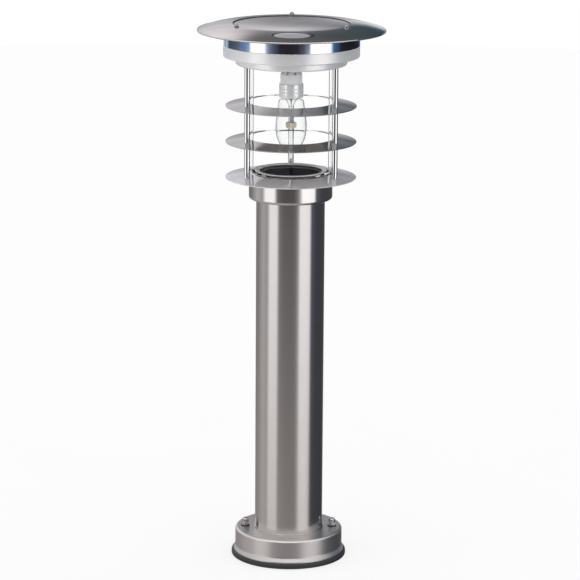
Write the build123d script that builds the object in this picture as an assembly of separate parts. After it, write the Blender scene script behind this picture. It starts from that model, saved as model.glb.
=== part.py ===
"""Bollard garden light: a brushed steel post with a louvred lantern, a clear jar and a candle lamp.

Millimetres, +Z up, origin at the middle of the rubber gasket's underside, front towards -Y.
One STEP file is written for each named piece.
"""

import math
import os

from build123d import *

# ---------------------------------------------------------------- driving dimensions
# rounded and chamfered edges
hairline = 0.3
fine_edge = 0.5
soft_edge = 0.8
full_edge = 1.2
almost_full = 0.99      # share of the largest fillet that still leaves both its faces

# clearances
weld_gap = 0.05         # radial, between pieces that are welded, brazed or screwed together
bolt_gap = 0.25         # radial, round a bolt or stud in a plain hole
slip_gap = 0.35         # between the lift-off roof, or the lamp, and what it passes
thread_gap = 0.15       # radial, between the lamp's cap and its holder

# hexagonal nuts, as shares of the size across flats or of the height
nut_dome_share = 0.47   # radius of an acorn nut's dome
nut_dome_round = 0.9    # how far the dome is rounded towards a ball
nut_blank_chamfer = 0.4
nut_face_share = 0.48   # radius of a plain nut's bearing face
nut_chamfer_share = 0.12

# foot
cover_radius = 60.3
cover_height = 31.4     # top face above the ground
cover_sheet = 1.2
cover_edge = 2.6        # outside radius of the top edge
cover_lip = 1.9         # how far the flare stands out at its foot
cover_flare = 5.5       # height of the flare
cover_flare_round = 4.0
cover_port = 30.0       # radius of the wiring hole below the post
gasket_height = 6.0
gasket_margin = 2.3     # how far the gasket shows beyond the cover
gasket_round = 2.6
cover_on_gasket = 1.0   # height of the cover's rim that is upright
plate_thickness = 3.0
plate_margin = 6.0      # metal outside the studs' circle
plate_to_gasket = 0.5
anchor_circle = 40.0    # radius of the circle of ground screws
anchor_hole = 3.25
anchor_count = 3
grommet_radius = 11.0
grommet_flange = 3.0    # how far the grommet's flange laps the plate
grommet_flange_height = 1.5
grommet_height = 7.0
grommet_lip = 2.0       # rubber round the cable entry at the grommet's top
cable_entry = 4.5       # radius of the hole for the ground cable

# cover fastenings, M5
stud_circle = 49.0
stud_radius = 2.5
stud_head_radius = 4.0
stud_head = 1.0
stud_reach = 7.0        # above the cover's top face
cap_washer_radius = 5.0
cap_washer = 1.0
cap_nut_flats = 8.0
cap_nut_hex = 4.0
cap_nut_height = 8.8

# post and collar
post_radius = 38.0
post_wall = 1.5
collar_radius = 46.2
collar_sheet = 1.2
collar_bottom = 410.0
collar_height = 30.0
collar_bottom_edge = 3.0
collar_top_edge = 2.7
post_in_collar = 14.0   # how far the post's tube stands up inside the collar
lid_flange = 2.5        # thickness of the lid's rim, which lies on the post's end
lid_wall = 2.0
lid_plug = 6.0          # how far the lid reaches down into the post
lid_to_jar = 1.5        # air between the raised lid and the jar

# louvres
louvre_radius = 72.35
louvre_inner = 48.3
louvre_slope = 10.6     # degrees
louvre_sheet = 1.0
louvre_drop = 6.0       # from the collar's rim to the lowest louvre's outer edge
louvre_pitch = 39.7

# support rods: tubes, so that the lamp's wires can climb inside one of them
rod_radius = 3.2
rod_end_radius = 2.5    # threaded ends
rod_bore = 1.7
rod_circle = 55.3
rod_nut_flats = 8.0
rod_nut_height = 3.2
rod_end = 1.2           # how far a rod stands out of its nut
rod_clear_height = 46.3  # from the highest louvre's outer edge to the seat ring

# seat ring, turned from cast aluminium
seat_radius = 75.0
seat_band = 12.5        # height of its wide step
seat_step = 8.9         # height of its narrow step
seat_wall = 1.9
seat_floor = 3.0
seat_edge = 2.0
seat_band_edge = 1.0
nut_to_wall = 0.2
spigot_inset = 1.6      # from the outside of the seat ring to the spigot
spigot_wall = 2.4
spigot_height = 9.0
seal_radius = 0.7

# jar
jar_radius = 44.0
jar_wall = 2.5
jar_dip = 2.0           # how far the jar's floor lies below the collar's rim
jar_corner = 6.5
jar_flange = 6.0        # how far the flange stands out
jar_flange_thickness = 3.0
jar_seal_thickness = 1.5
jar_gap = 0.6           # round the jar in the seat ring
cushion_width = 1.0
clip_width = 14.0
clip_sheet = 1.2
clip_reach = 3.0        # how far a clip bears on the jar's flange
clip_foot = 6.0
clip_screw_radius = 1.5
clip_screw_head = 2.7
clip_screw_head_height = 1.8

# roof
roof_radius = 103.7
washer_to_lip = 1.7     # from the roof's washers to the lip round the top plate
roof_rise = 23.5        # from the top of the seat ring to the lip
roof_brim_drop = 7.1    # from the lip to the rim
roof_recess = 1.8       # how deep the floor under the top plate lies below the lip
roof_sheet = 1.0
roof_bead = 0.9         # radius of the rolled rim
top_plate_gap = 0.3     # from the plate's edge to the recess's wall
top_plate_sheet = 0.9
top_plate_crown = 2.0   # from the edge to the middle
top_plate_fullness = 3  # slope at the edge, as a multiple of crown over radius
top_stud_radius = 2.0
top_stud_length = 9.0
top_nut_flats = 7.0
top_nut_height = 3.2
skirt_sheet = 1.0
skirt_to_recess = 1.0   # from the skirt's flange to the wall of the recess
skirt_corner = 2.0
roof_stud_inset = 6.0   # from the outside of the seat ring to the roof's studs
roof_stud_radius = 1.25
roof_nut_flats = 4.6
roof_nut_hex = 1.1
roof_nut_height = 2.6
roof_nut_thread = 0.5   # share of the acorn nut that is threaded
roof_washer_radius = 2.8
roof_washer = 0.4
oval_inset = 23.2       # from the rim to the middle of the oval
oval_width = 44.0
oval_depth = 24.0
oval_recess = 0.6
oval_gap = 0.8          # between the oval inlay and the edge of its recess
oval_sheet = 0.35

# lampholder and its bridge
bridge_width = 22.0
bridge_sheet = 1.5
bridge_inset = 9.0      # from the spigot to the bridge's legs
bridge_clear = 2.4      # from the bridge down to the floor of the seat ring's wide step
bridge_foot = 12.0
nipple_radius = 5.0
nipple_bore = 3.6
nipple_nut_flats = 14.0
nipple_nut_height = 3.0
nipple_thread = 9.0     # how far the nipple screws into the holder
nipple_length = 18.0    # from the bridge to the holder
nipple_end = 2.0        # above the upper nut
holder_height = 33.0
holder_radius = 13.3
holder_neck = 8.0
holder_dome = 16.0      # height of the domed part
holder_roof = 12.0      # from the holder's top down to its cavity
holder_cavity = 9.5
holder_top_edge = 1.0
holder_shoulder = 0.55  # share of the dome's height where it meets the cup
holder_shoulder_round = 6.0
holder_vents_down = 0.25  # share of the dome's height above the vents
holder_inset = 0.4      # from the bright sleeve's end to the insulator
vent_count = 8
vent_width = 2.0
vent_height = 3.2
sleeve_wall = 1.2
sleeve_length = 15.0
ridge_radius = 0.45
ridge_count = 3
ridge_pitch = 3.9
ridge_start = 2.2       # from the holder's mouth
ridge_sunk = 0.1        # how far a ridge's centre lies inside the sleeve's face
liner_wall = 0.5
liner_flange = 1.0
liner_clear = 1.0       # from the liner's end to the shoulder of the lamp's cap
tongue_sheet = 0.8
tongue_width = 5.0
tongue_length = 14.0
block_length = 28.0
block_width = 17.0
block_base = 8.0
block_height = 13.0
block_poles = 3
block_screw = 1.6
block_wire = 2.0
block_from_leg = 4.0
block_tower_long = 0.8  # share of a pole's length
block_tower_wide = 0.62  # share of the block's width
block_wire_up = 0.55    # share of the base's height

# lamp: candle lamp with an E14 cap
cap_radius = 6.95
cap_skirt_radius = 8.5
cap_skirt_height = 1.5
cap_shoulder = 1.0
cap_wall = 0.4
cap_inner_shoulder = 0.6
contact_radius = 2.4
contact_height = 1.6
contact_round = 0.9
contact_border = 0.8    # insulator that shows round the contact
contact_gap = 0.3       # under the holder's tongue when the lamp is screwed home
insulator_height = 3.0
glass_neck_radius = 8.0
glass_shoulder = 14.2
glass_radius = 17.1
glass_wall = 0.8
glass_drop = 1.5        # from the holder's mouth to the top of the glass
glass_to_shoulder = 4.3
glass_to_widest = 32.5
glass_to_taper = 52.7
glass_taper_radius = 11.0
glass_length = 69.5
glass_tip_radius = 1.6
glass_tip_height = 2.56
stem_foot_radius = 6.6
stem_foot_height = 9.0
stem_flare = 4.0        # round between the foot and the rod
stem_radius = 1.85
stem_length = 18.5
lead_radius = 0.5
lead_length = 8.0
lead_circle = 1.2
carrier_flats = 10.6
carrier_height = 6.0
chip_width = 3.0
chip_height = 4.4
chip_thickness = 0.7
chip_count = 6
pin_radius = 1.3
pin_length = 23.0
pin_round = 0.9

# ---------------------------------------------------------------- derived places
three_ways = (90, 210, 330)         # the rods and the roof's studs
between_ways = (30, 150, 270)       # the jar's clips
louvre_levels = ("lower", "middle", "upper")

cover_under = cover_height - cover_sheet
cover_inner = cover_radius - cover_sheet
cover_foot = cover_radius + cover_lip
gasket_radius = cover_foot + gasket_margin
plate_radius = stud_circle + plate_margin
post_inner = post_radius - post_wall
post_top = collar_bottom + post_in_collar
collar_top = collar_bottom + collar_height
collar_inner = collar_radius - collar_sheet
collar_mouth = collar_radius - collar_top_edge

slope = math.tan(math.radians(louvre_slope))
louvre_lowest = collar_top - louvre_drop
louvre_highest = louvre_lowest + (len(louvre_levels) - 1) * louvre_pitch

seat_bottom = louvre_highest + rod_clear_height
seat_shoulder = seat_bottom + seat_step
seat_top = seat_shoulder + seat_band
seat_floor_top = seat_bottom + seat_floor
shoulder_top = seat_shoulder + seat_floor
seat_step_inner = rod_circle + rod_nut_flats / 2 + nut_to_wall
seat_step_radius = seat_step_inner + seat_wall
seat_bore = jar_radius + jar_gap
spigot_radius = seat_radius - spigot_inset
spigot_inner = spigot_radius - spigot_wall
spigot_top = seat_top + spigot_height

jar_bottom = collar_top - jar_dip
flange_radius = jar_radius + jar_flange
flange_bottom = seat_floor_top + jar_seal_thickness
flange_top = flange_bottom + jar_flange_thickness
clip_riser = flange_radius + slip_gap
clip_screw_circle = clip_riser + clip_sheet + clip_foot / 2

roof_stud_circle = seat_radius - roof_stud_inset
roof_lip = roof_stud_circle - roof_washer_radius - washer_to_lip
oval_centre = roof_radius - oval_inset
roof_top = seat_top + roof_rise
recess_floor = roof_top - roof_recess
roof_under = recess_floor - roof_sheet
roof_rim = roof_top - roof_sheet / 2 - roof_brim_drop
roof_stud_top = roof_top + roof_washer + roof_nut_thread * roof_nut_height
skirt_inner = seat_radius - skirt_sheet
skirt_flange_inner = roof_lip + roof_sheet + skirt_to_recess
top_plate_radius = roof_lip - top_plate_gap
top_plate_edge = recess_floor + top_plate_sheet
top_plate_top = top_plate_edge + top_plate_crown

bridge_half_span = spigot_inner - bridge_inset
bridge_bottom = shoulder_top + bridge_clear
bridge_top = bridge_bottom + bridge_sheet
holder_top = bridge_bottom - nipple_length
holder_mouth = holder_top - holder_height
dome_foot = holder_top - holder_dome
cavity_top = holder_top - holder_roof
sleeve_top = holder_mouth + sleeve_length
sleeve_inner = holder_radius - sleeve_wall
liner_radius = cap_radius + thread_gap

contact_top = cavity_top - tongue_sheet - contact_gap
insulator_top = contact_top - contact_height
cap_top = insulator_top - insulator_height
glass_top = holder_mouth - glass_drop
cap_bottom = glass_top + weld_gap
stem_bottom = glass_top - stem_length
carrier_top = stem_bottom - lead_length
carrier_bottom = carrier_top - carrier_height

# The brim is one arc, level at the lip round the top plate and steepest at the rim.
brim_width = roof_radius - roof_bead - roof_lip
brim_arc = (brim_width**2 + roof_brim_drop**2) / (2 * roof_brim_drop)


def brim_height(radius, depth=0.0):
    """Height of the brim's face at a radius, or of the layer that lies a depth below it."""
    return roof_top - brim_arc + math.sqrt((brim_arc - depth) ** 2 - (radius - roof_lip) ** 2)


# ---------------------------------------------------------------- helpers
def turned(*points):
    """Solid of revolution about Z from a closed outline of (radius, height[, corner radius])."""
    corners = [(point[0], point[1]) for point in points]
    radii = [point[2] if len(point) > 2 else 0 for point in points]
    if any(radii):
        outline = FilletPolyline(*corners, radius=radii, close=True)
    else:
        outline = Polyline(*corners, close=True)
    return revolve(Plane.XZ * make_face(outline), Axis.Z)


def turned_from(*edges):
    """Solid of revolution about Z from edges that close an outline."""
    return revolve(Plane.XZ * make_face(edges), Axis.Z)


def round_bar(radius, bottom, top):
    """Upright cylinder on the Z axis between two heights."""
    return Pos(0, 0, bottom) * Cylinder(
        radius, top - bottom, align=(Align.CENTER, Align.CENTER, Align.MIN))


def tube(outer, inner, bottom, top):
    """Upright tube on the Z axis."""
    return round_bar(outer, bottom, top) - round_bar(inner, bottom, top)


def around(radius, angles):
    """Places on a circle, one for each angle in degrees from +X."""
    return [Rot(0, 0, angle) * Pos(radius, 0, 0) for angle in angles]


def hex_bar(flats, bottom, top):
    """Upright hexagonal bar, with flats across the radial direction of its place."""
    profile = Rot(0, 0, 30) * RegularPolygon(flats / 2, 6, major_radius=False)
    return Pos(0, 0, bottom) * extrude(profile, top - bottom)


def dome_nut(flats, hex_height, height, bore, bore_depth, bottom):
    """Acorn nut: a hexagon with chamfered corners under a dome."""
    dome_radius = nut_dome_share * flats
    hex_top = bottom + hex_height
    dome_round = nut_dome_round * min(dome_radius, height - hex_height)
    corner = flats / math.sqrt(3)
    blank = turned((0, bottom), (flats / 2, bottom), (corner, bottom + nut_blank_chamfer),
                   (corner, hex_top - nut_blank_chamfer), (dome_radius, hex_top), (0, hex_top))
    dome = turned((0, hex_top), (dome_radius, hex_top),
                  (dome_radius, bottom + height, dome_round), (0, bottom + height))
    nut = (blank & hex_bar(flats, bottom, bottom + height)) + dome
    return nut - round_bar(bore, bottom, bottom + bore_depth)


def plain_nut(flats, bore, bottom, top):
    """Hexagonal nut with both faces chamfered."""
    corner = flats / math.sqrt(3)
    face = nut_face_share * flats
    chamfer_height = nut_chamfer_share * (top - bottom)
    blank = turned((bore, bottom), (face, bottom), (corner, bottom + chamfer_height),
                   (corner, top - chamfer_height), (face, top), (bore, top))
    return blank & hex_bar(flats, bottom, top)


def copies(solid, places):
    """The same solid at several places, kept as separate solids."""
    return [place * solid for place in places]


def brim_layer(outer_depth, inner_depth, outer_radius):
    """Layer of the brim's sheet between two depths below its face, out to a radius."""
    outer_high = brim_height(outer_radius, outer_depth)
    outer_low = brim_height(outer_radius, inner_depth)
    return turned_from(
        Line((0, roof_top - outer_depth), (roof_lip, roof_top - outer_depth)),
        RadiusArc((roof_lip, roof_top - outer_depth), (outer_radius, outer_high),
                  brim_arc - outer_depth),
        Line((outer_radius, outer_high), (outer_radius, outer_low)),
        RadiusArc((outer_radius, outer_low), (roof_lip, roof_top - inner_depth),
                  inner_depth - brim_arc),
        Line((roof_lip, roof_top - inner_depth), (0, roof_top - inner_depth)),
        Line((0, roof_top - inner_depth), (0, roof_top - outer_depth)))


# ---------------------------------------------------------------- foot
def base_gasket():
    inner = plate_radius + plate_to_gasket
    return turned((inner, 0), (gasket_radius, 0, full_edge), (gasket_radius, gasket_height, gasket_round),
                  (inner, gasket_height))


def ground_plate():
    plate = round_bar(plate_radius, 0, plate_thickness)
    plate = chamfer(plate.edges().group_by(Axis.Z)[-1], fine_edge)
    plate -= round_bar(grommet_radius, 0, plate_thickness)
    hole = round_bar(anchor_hole, 0, plate_thickness)
    anchor_angles = [90 + 360 / anchor_count * step for step in range(anchor_count)]
    for place in around(anchor_circle, anchor_angles):
        plate -= place * hole
    for place in around(stud_circle, (0, 180)):
        plate -= place * round_bar(stud_radius, 0, plate_thickness)
        plate -= place * round_bar(stud_head_radius, 0, stud_head)
    return plate


def ground_studs():
    stud = round_bar(stud_head_radius, 0, stud_head)
    stud += round_bar(stud_radius, 0, cover_height + stud_reach)
    stud = chamfer(stud.edges().group_by(Axis.Z)[-1], fine_edge)
    return copies(stud, around(stud_circle, (0, 180)))


def cable_grommet():
    flange = grommet_radius + grommet_flange
    return turned((cable_entry, 0), (grommet_radius, 0), (grommet_radius, plate_thickness),
                  (flange, plate_thickness), (flange, plate_thickness + grommet_flange_height, fine_edge),
                  (cable_entry + grommet_lip, grommet_height, soft_edge), (cable_entry, grommet_height))


def base_cover():
    flare_top = gasket_height + cover_flare
    cover = turned((cover_port, cover_height), (cover_radius, cover_height, cover_edge),
                   (cover_radius, flare_top, cover_flare_round),
                   (cover_foot, gasket_height + cover_on_gasket, soft_edge),
                   (cover_foot, gasket_height), (cover_foot - cover_sheet, gasket_height),
                   (cover_inner, flare_top, cover_flare_round - cover_sheet),
                   (cover_inner, cover_under, cover_edge - cover_sheet),
                   (cover_port, cover_under))
    hole = round_bar(stud_radius + bolt_gap, cover_under, cover_height)
    for place in around(stud_circle, (0, 180)):
        cover -= place * hole
    return cover


def base_washers():
    washer = tube(cap_washer_radius, stud_radius + bolt_gap, cover_height,
                  cover_height + cap_washer)
    washer = chamfer(washer.edges().group_by(Axis.Z)[-1].sort_by(SortBy.RADIUS)[-1], hairline)
    return copies(washer, around(stud_circle, (0, 180)))


def base_cap_nuts():
    nut = dome_nut(cap_nut_flats, cap_nut_hex, cap_nut_height, stud_radius,
                   stud_reach - cap_washer, cover_height + cap_washer)
    return copies(nut, around(stud_circle, (0, 180)))


# ---------------------------------------------------------------- post
def post_tube():
    return tube(post_radius, post_inner, cover_height, post_top)


def collar():
    hole = post_radius + weld_gap
    inside_edge = collar_top_edge - collar_sheet
    return turned((hole, collar_bottom), (collar_radius, collar_bottom, collar_bottom_edge),
                  (collar_radius, collar_top, almost_full * collar_top_edge), (collar_mouth, collar_top),
                  (collar_mouth, collar_top - collar_sheet),
                  (collar_inner, collar_top - collar_sheet, almost_full * inside_edge),
                  (collar_inner, collar_bottom + collar_sheet, collar_bottom_edge - collar_sheet),
                  (hole, collar_bottom + collar_sheet))


def post_lid():
    """Moulded cap: a cup upside down, with a rim on the post's end and a plug in its bore."""
    cup = post_inner - weld_gap
    inside = cup - lid_wall
    rim = collar_inner - weld_gap
    rim_top = post_top + lid_flange
    top = jar_bottom - lid_to_jar
    return turned((0, top), (cup, top, full_edge), (cup, rim_top), (rim, rim_top, soft_edge),
                  (rim, post_top), (cup, post_top), (cup, post_top - lid_plug),
                  (inside, post_top - lid_plug), (inside, top - lid_wall, soft_edge),
                  (0, top - lid_wall))


# ---------------------------------------------------------------- louvred lantern
def louvre_edge(index):
    """Height of the middle of a louvre's outer edge, counted from the lowest."""
    return louvre_lowest + index * louvre_pitch


def louvre_face(index, radius):
    """Height of a louvre's upper face at a radius."""
    return louvre_edge(index) + louvre_sheet / 2 + (louvre_radius - radius) * slope


def louvre_ring(index):
    inner = louvre_inner
    hole_radius = rod_radius + weld_gap
    if index == 0:
        inner = collar_radius + weld_gap
        hole_radius = rod_end_radius + weld_gap
    outer_top = louvre_face(index, louvre_radius)
    inner_top = louvre_face(index, inner)
    edge = almost_full * louvre_sheet / 2
    ring = turned((inner, inner_top), (louvre_radius, outer_top, edge),
                  (louvre_radius, outer_top - louvre_sheet, edge),
                  (inner, inner_top - louvre_sheet))
    hole = round_bar(hole_radius, outer_top - louvre_sheet, inner_top)
    for place in around(rod_circle, three_ways):
        ring -= place * hole
    return ring


def support_rods():
    """Tubes with reduced, threaded ends whose shoulders bear on the lowest louvre and the seat."""
    shoulder = louvre_face(0, rod_circle - rod_radius)
    rod = tube(rod_radius, rod_bore, shoulder, seat_bottom)
    rod += tube(rod_end_radius, rod_bore, rod_bottom(), shoulder)
    rod += tube(rod_end_radius, rod_bore, seat_bottom, seat_floor_top + rod_nut_height + rod_end)
    return copies(rod, around(rod_circle, three_ways))


def lower_nut_seat():
    """Height at which a nut meets the underside of the lowest louvre."""
    return louvre_face(0, rod_circle + rod_nut_flats / 2) - louvre_sheet


def rod_bottom():
    return lower_nut_seat() - rod_nut_height - rod_end


def rod_nuts_lower():
    seat = lower_nut_seat()
    nut = plain_nut(rod_nut_flats, rod_end_radius, seat - rod_nut_height, seat)
    return copies(nut, around(rod_circle, three_ways))


def rod_nuts_upper():
    top = seat_floor_top + rod_nut_height
    nut = plain_nut(rod_nut_flats, rod_end_radius, seat_floor_top, top)
    return copies(nut, around(rod_circle, three_ways))


def seat_ring():
    ring = turned((seat_bore, seat_bottom), (seat_step_radius, seat_bottom, seat_edge),
                  (seat_step_radius, seat_shoulder, soft_edge),
                  (seat_radius, seat_shoulder, seat_band_edge), (seat_radius, seat_top, fine_edge),
                  (spigot_radius, seat_top), (spigot_radius, spigot_top, soft_edge),
                  (spigot_inner, spigot_top, fine_edge), (spigot_inner, shoulder_top, hairline),
                  (seat_step_inner, shoulder_top, soft_edge),
                  (seat_step_inner, seat_floor_top), (seat_bore, seat_floor_top))
    groove_middle = seat_top + spigot_height / 2
    groove_bottom = seal_circle() - seal_radius
    ring -= turned((groove_bottom, groove_middle - seal_radius),
                   (spigot_radius, groove_middle - seal_radius),
                   (spigot_radius, groove_middle + seal_radius),
                   (groove_bottom, groove_middle + seal_radius))
    for place in around(rod_circle, three_ways):
        ring -= place * round_bar(rod_end_radius + weld_gap, seat_bottom, seat_floor_top)
    for place in around(roof_stud_circle, three_ways):
        ring -= place * round_bar(roof_stud_radius, seat_shoulder, shoulder_top)
    for place in around(clip_screw_circle, between_ways):
        ring -= place * round_bar(clip_screw_radius, seat_bottom, seat_floor_top)
    return ring


def seal_circle():
    """Radius of the circle through the middle of the O-ring's section."""
    return skirt_inner - slip_gap - seal_radius


def seat_seal():
    """O-ring in the groove of the spigot."""
    section = Pos(seal_circle(), seat_top + spigot_height / 2) * Circle(seal_radius)
    return revolve(Plane.XZ * section, Axis.Z)


# ---------------------------------------------------------------- jar
def jar_cushion():
    inner = collar_mouth - cushion_width
    return turned((inner, collar_top - collar_sheet), (collar_mouth, collar_top - collar_sheet),
                  (collar_mouth, collar_top, hairline), (inner, collar_top, hairline))


def jar_seal():
    return tube(flange_radius, seat_bore, seat_floor_top, flange_bottom)


def diffuser_jar():
    inner = jar_radius - jar_wall
    return turned((0, jar_bottom), (jar_radius, jar_bottom, jar_corner),
                  (jar_radius, flange_bottom, hairline), (flange_radius, flange_bottom, soft_edge),
                  (flange_radius, flange_top, soft_edge), (inner, flange_top, full_edge),
                  (inner, jar_bottom + jar_wall, jar_corner - jar_wall),
                  (0, jar_bottom + jar_wall))


def jar_clips():
    """Z-shaped clips that press the jar's flange down on its seal."""
    tip = flange_radius - clip_reach
    end = clip_riser + clip_sheet + clip_foot
    foot_top = seat_floor_top + clip_sheet
    profile = Polyline((tip, flange_top), (clip_riser, flange_top), (clip_riser, seat_floor_top),
                       (end, seat_floor_top), (end, foot_top), (clip_riser + clip_sheet, foot_top),
                       (clip_riser + clip_sheet, flange_top + clip_sheet),
                       (tip, flange_top + clip_sheet), close=True)
    clip = extrude(Plane.XZ * make_face(profile), clip_width / 2, both=True)
    hole = round_bar(clip_screw_radius + bolt_gap, seat_floor_top, foot_top)
    clip -= Pos(clip_screw_circle, 0, 0) * hole
    return copies(clip, around(0, between_ways))


def jar_clip_screws():
    seat = seat_floor_top + clip_sheet
    screw = round_bar(clip_screw_radius, seat_bottom, seat)
    screw += turned((0, seat), (clip_screw_head, seat),
                    (clip_screw_head, seat + clip_screw_head_height, full_edge),
                    (0, seat + clip_screw_head_height))
    return copies(screw, around(clip_screw_circle, between_ways))


def roof_studs():
    stud = round_bar(roof_stud_radius, seat_shoulder, roof_stud_top)
    stud = chamfer(stud.edges().group_by(Axis.Z)[-1], hairline)
    return copies(stud, around(roof_stud_circle, three_ways))


# ---------------------------------------------------------------- roof
def oval(width, depth):
    """Upright elliptical bar on the front of the brim."""
    bottom = roof_rim - roof_sheet
    bar = extrude(Ellipse(width / 2, depth / 2), roof_top + roof_sheet - bottom)
    return Pos(0, -oval_centre, bottom) * bar


def roof_shell():
    edge = roof_radius - roof_bead
    wall = roof_lip + roof_sheet
    shell = brim_layer(0, roof_sheet, edge)
    shell += turned((0, roof_under), (wall, roof_under, soft_edge), (wall, roof_top - roof_sheet),
                    (0, roof_top - roof_sheet))
    shell -= round_bar(roof_lip, recess_floor, roof_top)
    shell = fillet(shell.edges().filter_by(GeomType.CIRCLE).group_by(Axis.Z)[-1], fine_edge)
    bead_height = brim_height(edge, roof_sheet / 2)
    bead = revolve(Plane.XZ * (Pos(edge, bead_height) * Circle(roof_bead)), Axis.Z)
    shell += bead
    shell -= brim_layer(-roof_sheet, oval_recess, edge) & oval(oval_width, oval_depth)
    for place in around(roof_stud_circle, three_ways):
        shell -= place * round_bar(roof_stud_radius + slip_gap, roof_rim, roof_top)
    shell -= round_bar(top_stud_radius + bolt_gap, roof_under, recess_floor)
    return shell


def roof_oval_inlay():
    layer = brim_layer(oval_recess - oval_sheet, oval_recess, roof_radius - roof_bead)
    return layer & oval(oval_width - 2 * oval_gap, oval_depth - 2 * oval_gap)


def roof_top_plate():
    """Shallow domed disc that lies in the recess, with a welded stud."""
    inner = top_plate_radius - top_plate_sheet
    crown_under = top_plate_top - top_plate_sheet
    edge_slope = top_plate_fullness * top_plate_crown / top_plate_radius
    plate = turned_from(
        Line((top_plate_radius, recess_floor), (top_plate_radius, top_plate_edge)),
        Spline((top_plate_radius, top_plate_edge), (0, top_plate_top),
               tangents=((-1, edge_slope), (-1, 0))),
        Line((0, top_plate_top), (0, crown_under)),
        Spline((0, crown_under), (inner, recess_floor), tangents=((1, 0), (1, -edge_slope))),
        Line((inner, recess_floor), (top_plate_radius, recess_floor)))
    return plate + round_bar(top_stud_radius, recess_floor - top_stud_length, crown_under)


def top_plate_nut():
    return plain_nut(top_nut_flats, top_stud_radius, roof_under - top_nut_height, roof_under)


def roof_skirt():
    """Polished band with a flange that the roof's studs clamp."""
    top = brim_height(seat_radius, roof_sheet)
    skirt = turned((skirt_inner, seat_top), (seat_radius, seat_top),
                   (seat_radius, top, skirt_corner), (skirt_flange_inner, top),
                   (skirt_flange_inner, top - skirt_sheet),
                   (skirt_inner, top - skirt_sheet, skirt_corner - skirt_sheet))
    for place in around(roof_stud_circle, three_ways):
        skirt -= place * round_bar(roof_stud_radius + slip_gap, seat_top, top)
    return skirt


def roof_washers():
    bottom = brim_height(roof_stud_circle - roof_washer_radius)
    washer = tube(roof_washer_radius, roof_stud_radius + slip_gap, bottom, bottom + roof_washer)
    return copies(washer, around(roof_stud_circle, three_ways))


def roof_dome_nuts():
    bottom = brim_height(roof_stud_circle - roof_washer_radius) + roof_washer
    nut = dome_nut(roof_nut_flats, roof_nut_hex, roof_nut_height,
                   roof_stud_radius + slip_gap, roof_nut_thread * roof_nut_height + slip_gap,
                   bottom)
    return copies(nut, around(roof_stud_circle, three_ways))


# ---------------------------------------------------------------- lampholder
def holder_bridge():
    """Strip welded under the roof, with its middle hanging over the jar's mouth."""
    side = bridge_half_span
    inside = side - bridge_sheet
    foot_end = side - bridge_foot
    foot_bottom = roof_under - bridge_sheet
    right_half = ((0, bridge_bottom), (side, bridge_bottom), (side, roof_under),
                  (foot_end, roof_under), (foot_end, foot_bottom), (inside, foot_bottom),
                  (inside, bridge_top), (0, bridge_top))
    half = extrude(Plane.XZ * make_face(Polyline(*right_half, close=True)),
                   bridge_width / 2, both=True)
    half = fillet(half.edges().filter_by(Axis.Y).group_by(Axis.Z)[0].sort_by(Axis.X)[-1],
                  bridge_sheet)
    bridge = half + Rot(0, 0, 180) * half
    return bridge - round_bar(nipple_radius + weld_gap, bridge_bottom, bridge_top)


def holder_nipple():
    top = bridge_top + nipple_nut_height + nipple_end
    return tube(nipple_radius, nipple_bore, holder_top - nipple_thread, top)


def nipple_nuts():
    upper = plain_nut(nipple_nut_flats, nipple_radius, bridge_top, bridge_top + nipple_nut_height)
    lower = plain_nut(nipple_nut_flats, nipple_radius, bridge_bottom - nipple_nut_height,
                      bridge_bottom)
    return [upper, lower]


def terminal_block():
    """Row of insulated clamps: a screw from above and a wire hole through each."""
    pole = block_length / block_poles
    block = Box(block_length, block_width, block_base,
                align=(Align.MIN, Align.CENTER, Align.MIN))
    tower = Box(block_tower_long * pole, block_tower_wide * block_width, block_height,
                align=(Align.CENTER, Align.CENTER, Align.MIN))
    screw_hole = Pos(0, 0, block_base) * round_bar(block_screw, 0, block_height - block_base)
    wire_hole = Pos(0, 0, block_wire_up * block_base) * Rot(90, 0, 0) * Cylinder(block_wire, block_width)
    for index in range(block_poles):
        place = Pos(pole * (index + 0.5), 0, 0)
        block = block + place * tower - place * screw_hole - place * wire_hole
    start = bridge_half_span - bridge_sheet - block_from_leg - block_length
    return Pos(start, 0, bridge_top) * block


def lampholder_body():
    """Moulded insulator: a domed cup with vents, screwed on the nipple."""
    body_radius = sleeve_inner - weld_gap
    shoulder = dome_foot + holder_shoulder * holder_dome
    vent_top = holder_top - holder_vents_down * holder_dome
    body = turned((nipple_radius, holder_top), (holder_neck, holder_top, holder_top_edge),
                  (body_radius, shoulder, holder_shoulder_round), (body_radius, dome_foot),
                  (body_radius, holder_mouth + holder_inset),
                  (holder_cavity, holder_mouth + holder_inset), (holder_cavity, cavity_top, full_edge),
                  (nipple_radius, cavity_top))
    vent = Box(holder_radius, vent_width, vent_height, align=(Align.MIN, Align.CENTER, Align.MAX))
    vent_angles = [360 / vent_count * (step + 0.5) for step in range(vent_count)]
    for place in around(holder_neck, vent_angles):
        body -= place * Pos(0, 0, vent_top) * vent
    return body


def lampholder_sleeve():
    """Bright ring with rolled ridges that covers the cup of the holder."""
    sleeve = tube(holder_radius, sleeve_inner, holder_mouth, sleeve_top)
    sleeve = fillet(sleeve.edges().group_by(Axis.Z)[0].sort_by(SortBy.RADIUS)[-1], soft_edge)
    for index in range(ridge_count):
        height = holder_mouth + ridge_start + index * ridge_pitch
        section = Pos(holder_radius - ridge_sunk, height) * Circle(ridge_radius)
        sleeve += revolve(Plane.XZ * section, Axis.Z)
    return sleeve


def holder_liner():
    """Thin threaded shell that the lamp's cap screws into, with a flange in the cavity."""
    outer = liner_radius + liner_wall
    rim = holder_cavity - weld_gap
    bottom = cap_bottom + cap_skirt_height + cap_shoulder + liner_clear
    return turned((liner_radius, cap_top), (rim, cap_top), (rim, cap_top - liner_flange),
                  (outer, cap_top - liner_flange), (outer, bottom), (liner_radius, bottom))


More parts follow.
